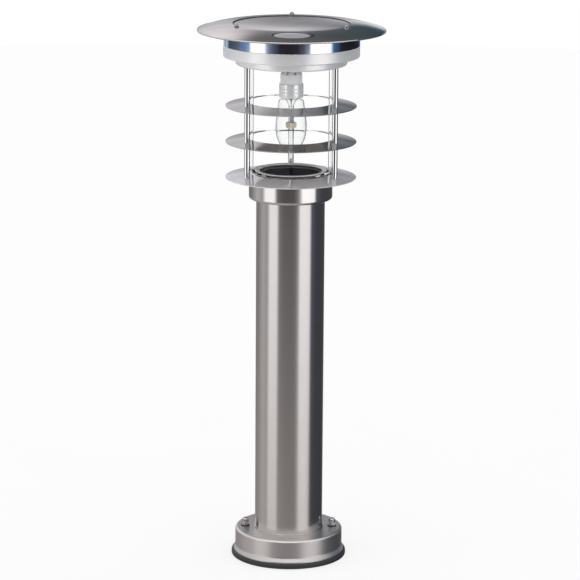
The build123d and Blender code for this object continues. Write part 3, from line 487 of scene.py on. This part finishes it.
# ---------------------------------------------------------------- studio
FLOOR_GLOW = 0.72       # share of the floor that the camera sees as plain white
FLOOR_RADIUS = 4.0
FLOOR_DOWN = 0.0002     # how far the floor lies below the gasket
CAMERA_PLACE = (0, -3.231, 1.052)
CAMERA_TILT = 76.99     # degrees from looking straight down
CAMERA_ROLL = 0.37
CAMERA_LENS = 184.7     # millimetres, on a 36 mm frame
STUDIO = (      # elevation, then azimuth from the camera's side towards the right, with the room's colour there
    (-19, ((-180, (0.30, 0.29, 0.28)), (-132, (0.38, 0.36, 0.35)), (-100, (0.50, 0.48, 0.47)),
           (-60, (0.50, 0.48, 0.47)), (20, (0.38, 0.36, 0.35)), (50, (0.60, 0.58, 0.57)),
           (60, (0.56, 0.55, 0.54)), (72, (0.22, 0.22, 0.23)), (84, (0.07, 0.07, 0.08)),
           (150, (0.05, 0.05, 0.06)), (180, (0.47, 0.45, 0.44)))),
    (-10.5, ((-180, (0.18, 0.17, 0.17)), (-135, (0.22, 0.21, 0.21)), (-104, (0.62, 0.60, 0.59)),
             (-84, (0.44, 0.43, 0.42)), (-73, (1.55, 1.52, 1.52)), (-46, (1.55, 1.52, 1.52)),
             (-37, (0.14, 0.13, 0.13)), (-21, (0.055, 0.05, 0.055)), (-7, (0.05, 0.045, 0.047)),
             (10, (0.07, 0.066, 0.07)), (21, (0.26, 0.25, 0.26)), (29, (0.9, 0.9, 0.9)),
             (33, (1.70, 1.70, 1.70)), (68, (1.60, 1.59, 1.59)), (76, (0.12, 0.12, 0.13)),
             (100, (0.07, 0.07, 0.08)), (150, (0.07, 0.07, 0.08)), (180, (0.18, 0.17, 0.17)))),
    (-8.8, ((-180, (0.28, 0.27, 0.27)), (-135, (0.34, 0.33, 0.33)), (-104, (0.62, 0.60, 0.59)),
            (-84, (0.36, 0.35, 0.34)), (-73, (1.38, 1.36, 1.36)), (-46, (1.38, 1.36, 1.36)),
            (-37, (0.14, 0.13, 0.13)), (-21, (0.055, 0.05, 0.055)), (-7, (0.05, 0.045, 0.047)),
            (10, (0.07, 0.066, 0.07)), (21, (0.26, 0.25, 0.26)), (29, (0.9, 0.9, 0.9)),
            (33, (1.50, 1.50, 1.50)), (68, (1.36, 1.35, 1.35)), (76, (0.12, 0.12, 0.13)),
            (100, (0.07, 0.07, 0.08)), (150, (0.07, 0.07, 0.08)), (180, (0.28, 0.27, 0.27)))),
    (-8.4, ((-180, (0.28, 0.30, 0.32)), (-162, (0.95, 1.00, 1.02)), (-150, (0.06, 0.22, 0.34)),
            (-142, (0.55, 0.70, 0.76)), (-130, (0.02, 0.05, 0.09)), (-104, (0.03, 0.06, 0.12)),
            (-90, (0.08, 0.20, 0.40)), (-76, (0.14, 0.32, 0.62)), (-71, (1.40, 1.38, 1.37)),
            (-47, (1.40, 1.38, 1.37)), (-42, (0.24, 0.36, 0.52)), (-31, (0.08, 0.12, 0.20)),
            (-20, (0.020, 0.018, 0.045)), (-5, (0.012, 0.009, 0.018)), (10, (0.016, 0.014, 0.028)),
            (22, (0.04, 0.06, 0.12)), (30, (0.10, 0.18, 0.36)), (34, (1.50, 1.50, 1.50)),
            (68, (1.36, 1.35, 1.34)), (74, (0.03, 0.16, 0.44)), (86, (0.02, 0.06, 0.16)),
            (92, (0.006, 0.006, 0.012)), (150, (0.006, 0.006, 0.012)), (166, (0.02, 0.10, 0.30)),
            (180, (0.28, 0.30, 0.32)))),
    (-4, ((-180, (0.18, 0.18, 0.20)), (-177, (0.5, 0.5, 0.53)), (-120, (0.55, 0.55, 0.57)),
          (-74, (0.50, 0.52, 0.56)), (-70, (1.3, 1.3, 1.3)), (-46, (1.3, 1.3, 1.3)), (-40, (0.14, 0.16, 0.20)),
          (-15, (0.05, 0.05, 0.06)), (15, (0.06, 0.06, 0.07)), (27, (0.14, 0.18, 0.24)), (34, (1.4, 1.4, 1.4)),
          (70, (1.3, 1.3, 1.3)), (77, (0.12, 0.18, 0.28)), (120, (0.08, 0.09, 0.11)), (175, (0.9, 0.92, 0.95)),
          (178, (0.7, 0.72, 0.74)), (180, (0.18, 0.18, 0.20)))),
    (3, ((-180, (0.19, 0.19, 0.21)), (-177.5, (0.55, 0.54, 0.57)), (-150, (0.9, 0.9, 0.93)),
         (-120, (0.6, 0.6, 0.62)), (-70, (1.0, 1.0, 1.0)), (-45, (1.0, 1.0, 1.0)), (-25, (0.12, 0.12, 0.13)),
         (25, (0.14, 0.14, 0.15)), (40, (1.0, 1.0, 1.0)), (75, (0.9, 0.9, 0.9)), (90, (0.12, 0.15, 0.17)),
         (150, (0.2, 0.23, 0.25)), (174, (0.8, 0.82, 0.84)), (177.5, (0.7, 0.71, 0.73)),
         (180, (0.19, 0.19, 0.21)))),
    (8, ((-180, (0.28, 0.28, 0.30)), (-177, (0.55, 0.54, 0.57)), (-150, (0.95, 0.94, 0.97)),
         (-120, (0.6, 0.6, 0.62)), (-70, (1.0, 1.0, 1.0)), (-45, (1.0, 1.0, 1.0)), (-25, (0.12, 0.12, 0.13)),
         (25, (0.14, 0.14, 0.15)), (40, (1.0, 1.0, 1.0)), (75, (0.9, 0.9, 0.9)), (90, (0.12, 0.15, 0.17)),
         (150, (0.05, 0.08, 0.10)), (173, (0.24, 0.27, 0.29)), (177.5, (0.36, 0.37, 0.39)),
         (180, (0.28, 0.28, 0.30)))),
    (11, ((-180, (0.40, 0.40, 0.42)), (-177, (0.80, 0.78, 0.82)), (-150, (0.95, 0.94, 0.97)),
          (-120, (0.7, 0.7, 0.7)), (-30, (0.2, 0.2, 0.2)), (30, (0.2, 0.2, 0.2)), (60, (0.8, 0.8, 0.8)),
          (100, (0.15, 0.18, 0.20)), (160, (0.05, 0.08, 0.10)), (176, (0.06, 0.09, 0.11)),
          (180, (0.40, 0.40, 0.42)))),
    (13.5, ((-180, (0.88, 0.87, 0.91)), (-177, (0.66, 0.64, 0.68)), (-150, (0.95, 0.94, 0.97)),
            (-120, (0.7, 0.7, 0.7)), (-30, (0.2, 0.2, 0.2)), (30, (0.2, 0.2, 0.2)), (60, (0.8, 0.8, 0.8)),
            (100, (0.15, 0.18, 0.20)), (160, (0.05, 0.08, 0.10)), (176, (0.06, 0.09, 0.11)),
            (180, (0.88, 0.87, 0.91)))),
    (17, ((-180, (0.92, 0.91, 0.95)), (-176, (0.74, 0.72, 0.76)), (-165, (1.05, 1.02, 1.06)),
          (-140, (0.9, 0.88, 0.9)), (-60, (0.5, 0.5, 0.5)), (60, (0.6, 0.6, 0.6)), (120, (0.10, 0.13, 0.15)),
          (170, (0.05, 0.08, 0.10)), (177, (0.06, 0.08, 0.10)), (180, (0.92, 0.91, 0.95)))),
    (20, ((-180, (0.20, 0.20, 0.22)), (-178, (0.35, 0.33, 0.35)), (-174, (0.9, 0.87, 0.9)),
          (-140, (0.9, 0.88, 0.9)), (-60, (0.5, 0.5, 0.5)), (60, (0.6, 0.6, 0.6)), (120, (0.10, 0.13, 0.15)),
          (168, (0.05, 0.08, 0.10)), (176, (0.10, 0.12, 0.14)), (180, (0.20, 0.20, 0.22)))),
    (30, ((-180, (0.16, 0.16, 0.17)), (-175, (0.25, 0.24, 0.25)), (-171, (0.95, 0.92, 0.95)),
          (-166, (1.15, 1.12, 1.15)), (-60, (1.5, 1.5, 1.5)), (60, (1.5, 1.5, 1.5)), (150, (0.08, 0.11, 0.13)),
          (172, (0.08, 0.10, 0.11)), (180, (0.16, 0.16, 0.17)))),
    (37, ((-180, (0.15, 0.15, 0.16)), (-171, (0.22, 0.21, 0.22)), (-168, (1.0, 0.98, 1.0)),
          (-150, (1.0, 0.98, 1.0)), (-60, (1.5, 1.5, 1.5)), (60, (1.5, 1.5, 1.5)), (150, (0.08, 0.11, 0.13)),
          (172, (0.08, 0.10, 0.11)), (180, (0.15, 0.15, 0.16)))),
    (43, ((-180, (0.13, 0.13, 0.14)), (-160, (0.20, 0.20, 0.21)), (-60, (1.5, 1.5, 1.5)),
          (60, (1.5, 1.5, 1.5)), (150, (0.08, 0.11, 0.13)), (180, (0.13, 0.13, 0.14)))),
    (65, ((-180, (0.20, 0.20, 0.21)), (-90, (1.4, 1.4, 1.4)), (90, (1.2, 1.2, 1.2)), (180, (0.20, 0.20, 0.21)))),
)


def studio():
    """A photographer's room: tall soft boxes in front and dark cloths between, seen in reflections only.

    The camera, and what shows through the glass, meets a white backdrop; matt surfaces get even light.
    """
    world = bpy.data.worlds.new("studio")
    bpy.context.scene.world = world
    world.use_nodes = True
    world.cycles.sampling_method = "NONE"
    tree = world.node_tree
    tree.nodes.clear()
    direction = add(tree, "ShaderNodeTexCoord").outputs["Generated"]
    axes = add(tree, "ShaderNodeSeparateXYZ")
    tree.links.new(direction, axes.inputs[0])
    x, y, z = axes.outputs
    bearing = math_node(tree, "ARCTAN2", x, math_node(tree, "MULTIPLY", y, -1.0))
    turn = math_node(tree, "ADD", math_node(tree, "DIVIDE", bearing, 2 * math.pi), 0.5)
    walls = None
    below = None
    for elevation, stops in STUDIO:
        level = ramp(tree, turn, [(azimuth / 360 + 0.5, colour) for azimuth, colour in stops])
        height = math.sin(math.radians(elevation))
        if walls is None:
            walls = level
        else:
            rise = add(tree, "ShaderNodeMapRange")
            rise.inputs["From Min"].default_value = below
            rise.inputs["From Max"].default_value = height
            tree.links.new(z, rise.inputs["Value"])
            walls = mix_colours(tree, rise.outputs["Result"], walls, level)
        below = height
    rays = add(tree, "ShaderNodeLightPath").outputs
    reflected = math_node(tree, "GREATER_THAN", rays["Glossy Depth"], 0.5)
    mirrored = math_node(tree, "SUBTRACT", reflected, rays["Is Diffuse Ray"])
    room = mix_colours(tree, mirrored, (1, 1, 1), walls)
    background = add(tree, "ShaderNodeBackground")
    tree.links.new(room, background.inputs["Color"])
    output = add(tree, "ShaderNodeOutputWorld")
    tree.links.new(background.outputs[0], output.inputs["Surface"])


def floor():
    """A pale floor that keeps the object's shadow."""
    bpy.ops.mesh.primitive_circle_add(vertices=96, radius=FLOOR_RADIUS, fill_type="NGON",
                                      location=(0, 0, -FLOOR_DOWN))
    plane = bpy.context.object
    plane.name = "floor"
    material = bpy.data.materials.new("floor")
    material.use_nodes = True
    tree = material.node_tree
    tree.nodes.clear()
    matt = add(tree, "ShaderNodeBsdfDiffuse")
    place = add(tree, "ShaderNodeTexCoord").outputs["Object"]
    tree.links.new(ramp(tree, noise(tree, place, 6.0), ((0.3, (0.93, 0.93, 0.93)), (0.7, (0.95, 0.95, 0.95)))),
                   matt.inputs["Color"])
    glow = add(tree, "ShaderNodeEmission")
    rays = add(tree, "ShaderNodeLightPath").outputs
    blend = add(tree, "ShaderNodeMixShader")
    tree.links.new(math_node(tree, "MULTIPLY", rays["Is Camera Ray"], FLOOR_GLOW), blend.inputs["Fac"])
    tree.links.new(matt.outputs[0], blend.inputs[1])
    tree.links.new(glow.outputs[0], blend.inputs[2])
    output = add(tree, "ShaderNodeOutputMaterial")
    tree.links.new(blend.outputs[0], output.inputs["Surface"])
    plane.data.materials.append(material)
    plane.visible_glossy = False
    plane.visible_transmission = False


def camera():
    """A long lens, a little above the object's top and looking down."""
    lens = bpy.data.cameras.new("camera")
    lens.sensor_width = 36.0
    lens.lens = CAMERA_LENS
    lens.clip_end = 50.0
    viewer = bpy.data.objects.new("camera", lens)
    bpy.context.collection.objects.link(viewer)
    viewer.location = CAMERA_PLACE
    tilt = Matrix.Rotation(math.radians(CAMERA_TILT), 4, "X")
    roll = Matrix.Rotation(math.radians(CAMERA_ROLL), 4, "Z")
    viewer.rotation_euler = (tilt @ roll).to_euler()
    bpy.context.scene.camera = viewer


studio()
floor()
camera()
bpy.context.scene.view_settings.view_transform = "Standard"
